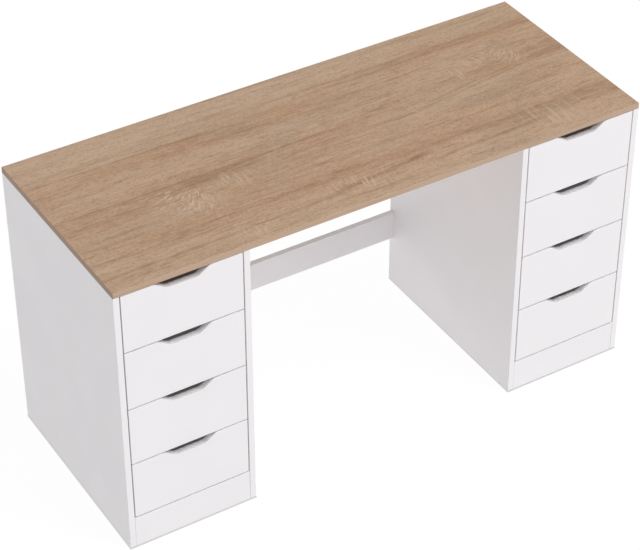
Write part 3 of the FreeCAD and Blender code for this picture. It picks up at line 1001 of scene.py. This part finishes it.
class DESK_OT_drawer_boxes(bpy.types.Operator):
    """Model the walls and the bottoms of the drawers"""

    bl_idname = "desk.drawer_boxes"
    bl_label = "Drawer boxes"

    def execute(self, context):
        sizes = context.scene.desk_sizes

        def walls(name, drawer):
            return self.walls(name, drawer, sizes)

        def bottom(name, drawer):
            low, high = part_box(drawer + "_bottom")
            sheet = start_box(name, low, high)
            round_edges(sheet, sizes.sheet_round, FINE_STEPS, is_sharp)
            screws = round_solids(drawer + "_fittings", sizes.screw_head)
            cut(sheet, screw_seats(low, high, screws, sizes.screw_sink, sizes.bore_play))
            return sheet

        model_alike("_box", "_walls", walls, "white_foil")
        model_alike("_bottom", "_bottom_sheet", bottom, "white_hardboard")
        return {"FINISHED"}

    def walls(self, name, drawer, sizes):
        """Two side walls and the back wall of a drawer, as one piece."""
        outer_low, outer_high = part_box(drawer + "_box")
        start_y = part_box(drawer + "_front")[1].y
        bottom_low, bottom_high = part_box(drawer + "_bottom")
        thickness = sizes.wall_thickness
        left_x = outer_low.x + thickness
        right_x = outer_high.x - thickness
        back_low = (left_x, outer_high.y - thickness, bottom_high.z + sizes.groove_play)
        boards = [
            (Vector((outer_low.x, start_y, outer_low.z)), Vector((left_x, outer_high.y, outer_high.z))),
            (Vector((right_x, start_y, outer_low.z)), outer_high),
            (Vector(back_low), Vector((right_x, outer_high.y, outer_high.z))),
        ]
        cams = round_solids(drawer + "_fittings", sizes.wall_cam_diameter)
        screws = round_solids(drawer + "_fittings", sizes.screw_head)
        pieces = []
        for low, high in boards:
            wall = start_box(name, low, high)
            length_axis = 1 if high.y - low.y > thickness + TINY else 0
            self.round_top(wall, high.z, length_axis, sizes)
            round_edges(wall, sizes.sheet_round, FINE_STEPS, is_sharp)
            cutters = cam_bores(low, high, cams, sizes.bore_play)
            cutters += screw_seats(low, high, screws, sizes.screw_sink, sizes.bore_play)
            if length_axis == 1:
                cutters.append(groove_cutter(bottom_low, bottom_high, sizes.groove_play))
            cut(wall, cutters)
            pieces.append(wall)
        select_only(*pieces)
        bpy.ops.object.join()
        joined = bpy.context.active_object
        joined.name = name
        return joined

    def round_top(self, wall, top_z, length_axis, sizes):
        """Round the top of a wall along its length."""

        def along_top(edge):
            first, second = edge.verts
            lengthwise = abs(first.co[length_axis] - second.co[length_axis]) > sizes.wall_thickness
            return lengthwise and min(first.co.z, second.co.z) > top_z - TINY

        round_edges(wall, sizes.wall_round, WIDE_STEPS, along_top)


class DESK_OT_metalwork(bpy.types.Operator):
    """Give the rails, screws, cam locks, dowels and glides their finishes"""

    bl_idname = "desk.metalwork"
    bl_label = "Slides and fasteners"

    def execute(self, context):
        slots = {
            "cabinet_rails": "zinc_steel",
            "rail_screws": "zinc_steel",
            "cam_bolts": "zinc_steel",
            "cam_locks": "cam_zinc",
            "dowels": "beech",
            "floor_glides": "glide_plastic",
        }
        for drawer in DRAWERS:
            slots[drawer + "_fittings"] = "zinc_steel"
            slots[drawer + "_middle_rails"] = "zinc_steel"
        for node, slot in slots.items():
            for place in frame["nodes"][node].material_slots:
                place.material = finish(slot)
        return {"FINISHED"}


class DESK_OT_stage(bpy.types.Operator):
    """Set the floor, the soft studio light and the camera"""

    bl_idname = "desk.stage"
    bl_label = "Floor, light and camera"

    def execute(self, context):
        stage = context.scene.desk_stage
        self.floor(stage)
        self.light(context.scene, stage)
        self.camera(context.scene, stage)
        context.scene.view_settings.view_transform = "Standard"
        return {"FINISHED"}

    def floor(self, stage):
        """Wide pale floor that glows, as a light table does, and glows less under the pedestals."""
        bpy.ops.object.select_all(action="DESELECT")
        bpy.ops.mesh.primitive_plane_add(size=stage.floor_width)
        floor = bpy.context.active_object
        floor.name = "studio_floor"
        paper = Finish("studio_paper", roughness=1.0)
        tone = (stage.floor_tone,) * 3
        paper.colour(paper.blend(paper.noise(PAPER_FIBRE), tone, shade(tone, 0.97)))
        paper.shader["Specular IOR Level"].default_value = 0.0
        glow = (1.0, 1.0, 1.0)
        for pedestal in PEDESTALS:
            covered = self.under_pedestal(paper, pedestal, stage.foot_fade)
            glow = paper.blend(covered, glow, (stage.foot_glow,) * 3)
        paper.glow(stage.floor_glow, glow)
        floor.data.materials.append(paper.material)

    def under_pedestal(self, paper, pedestal, fade):
        """1 where the floor lies under a pedestal, fading to 0 beside it."""
        sides = [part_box(pedestal + side) for side in ("_outer_side", "_inner_side")]
        parts = paper.parts(paper.place)
        covered = []
        for axis in range(2):
            start = min(low[axis] for low, high in sides)
            end = max(high[axis] for low, high in sides)
            away = paper.math("SUBTRACT", parts[axis], (start + end) / 2)
            half = (end - start) / 2
            covered.append(paper.span(paper.math("ABSOLUTE", away), half + fade, half))
        return paper.product(*covered)

    def light(self, scene, stage):
        """Room with pale walls, and two large soft lights at the front and the back."""
        scene.world = bpy.data.worlds.new("studio")
        scene.world.use_nodes = True
        room = Shading(scene.world.node_tree)
        background = room.tree.nodes["Background"].inputs
        background["Color"].default_value = (1, 1, 1, 1)
        height = room.parts(room.place)["Z"]
        top = math.sin(stage.wall_rise)
        room.feed(background["Strength"], room.span(height, 0.0, top, stage.wall_light, stage.room_light))
        lights = (
            ("key_light", stage.key_azimuth, stage.key_elevation, stage.key_power),
            ("back_light", stage.back_azimuth, stage.back_elevation, stage.back_power),
        )
        for name, azimuth, elevation, power in lights:
            place, turn = looking_in(stage.aim, azimuth, elevation, stage.light_distance)
            bpy.ops.object.light_add(type="AREA", location=place, rotation=turn)
            light = bpy.context.active_object
            light.name = name
            light.data.shape = "RECTANGLE"
            light.data.size = stage.light_width
            light.data.size_y = stage.light_height
            light.data.energy = power

    def camera(self, scene, stage):
        """Camera at the height and turn of the view."""
        place, turn = looking_in(stage.aim, stage.azimuth, stage.elevation, stage.distance)
        bpy.ops.object.camera_add(location=place, rotation=turn)
        camera = bpy.context.active_object
        camera.name = "view_camera"
        camera.rotation_euler = (Euler(turn).to_matrix() @ Matrix.Rotation(stage.roll, 3, "Z")).to_euler()
        camera.data.sensor_fit = "HORIZONTAL"
        camera.data.sensor_width = SENSOR_WIDTH
        camera.data.lens = stage.lens
        scene.camera = camera


def looking_in(aim, azimuth, elevation, distance):
    """Place and rotation of a camera or light that looks at a point from a turn and a height."""
    level = math.cos(elevation)
    away = Vector((math.sin(azimuth) * level, -math.cos(azimuth) * level, math.sin(elevation)))
    return Vector(aim) + away * distance, (math.pi / 2 - elevation, 0, azimuth)


class DESK_PT_sidebar(bpy.types.Panel):
    """Buttons for each group of pieces, with their sizes and colours"""

    bl_idname = "DESK_PT_sidebar"
    bl_label = "Office Desk"
    bl_space_type = "VIEW_3D"
    bl_region_type = "UI"
    bl_category = "Desk"

    def draw(self, context):
        for operator in OPERATORS:
            self.layout.operator(operator.bl_idname)
        for group in (context.scene.desk_sizes, context.scene.desk_finishes, context.scene.desk_stage):
            box = self.layout.box()
            for name in group.__annotations__:
                box.prop(group, name)


GROUPS = {"desk_sizes": DeskSizes, "desk_finishes": DeskFinishes, "desk_stage": DeskStage}
OPERATORS = (
    DESK_OT_worktop,
    DESK_OT_carcass,
    DESK_OT_back_panels,
    DESK_OT_drawer_fronts,
    DESK_OT_drawer_boxes,
    DESK_OT_metalwork,
    DESK_OT_stage,
)


def register():
    """Register the property groups, operators and panel."""
    for name, group in GROUPS.items():
        bpy.utils.register_class(group)
        setattr(bpy.types.Scene, name, bpy.props.PointerProperty(type=group))
    for kind in (*OPERATORS, DESK_PT_sidebar):
        bpy.utils.register_class(kind)


def unregister():
    """Take the classes out again."""
    for kind in (DESK_PT_sidebar, *reversed(OPERATORS)):
        bpy.utils.unregister_class(kind)
    for name, group in GROUPS.items():
        delattr(bpy.types.Scene, name)
        bpy.utils.unregister_class(group)


def main():
    """Dress the desk piece by piece."""
    register()
    bpy.ops.desk.worktop()
    bpy.ops.desk.carcass()
    bpy.ops.desk.back_panels()
    bpy.ops.desk.drawer_fronts()
    bpy.ops.desk.drawer_boxes()
    bpy.ops.desk.metalwork()
    bpy.ops.desk.stage()


if __name__ == "__main__":
    main()
